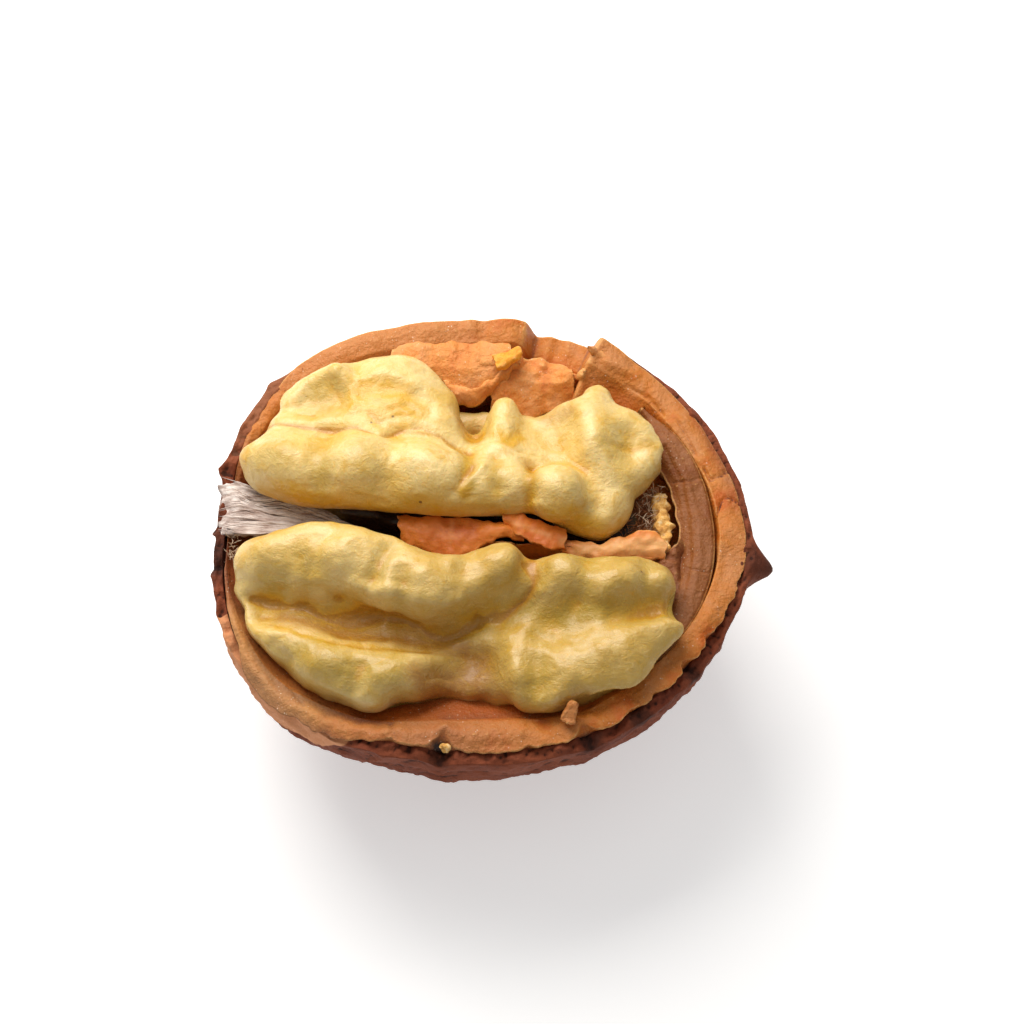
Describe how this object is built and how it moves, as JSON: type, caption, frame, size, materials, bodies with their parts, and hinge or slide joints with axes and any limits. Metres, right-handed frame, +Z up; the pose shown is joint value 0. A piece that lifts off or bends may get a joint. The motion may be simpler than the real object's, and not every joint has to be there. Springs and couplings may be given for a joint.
{
  "type": "cracked walnut half",
  "caption": "Half of a cracked walnut: a boat-shaped woody shell holding a lobed pale kernel, split along its middle by a papery partition.",
  "frame": {"origin": "middle of the small flat under the shell, on the surface the half nut rests on", "axes": "+X along the nut to its pointed tip, +Y to the back wall with the broken rim, +Z up out of the open shell"},
  "size_m": [0.0419, 0.0371, 0.0228],
  "materials": {
    "shell": "rough reddish-brown bark-like outside, orange-tan broken rim",
    "shell_lining": "smooth orange-tan inner layer, faintly satin",
    "kernel": "waxy pale yellow nut flesh with golden creases, soft sheen",
    "partition_paper": "thin papery orange-brown membrane",
    "fibre": "matt whitish-lilac plant fibre",
    "pith": "dry crumbly yellow-orange pith"
  },
  "bodies": {
    "root": {"shell_half": "shell", "tip_lining": "shell_lining", "back_lining": "shell_lining", "kernel_back": "kernel", "kernel_front": "kernel", "partition": "partition_paper", "stem_fibres": "fibre", "tip_pith": "pith", "curled_flake": "shell_lining", "front_chip": "shell_lining"}
  },
  "joints": []
}
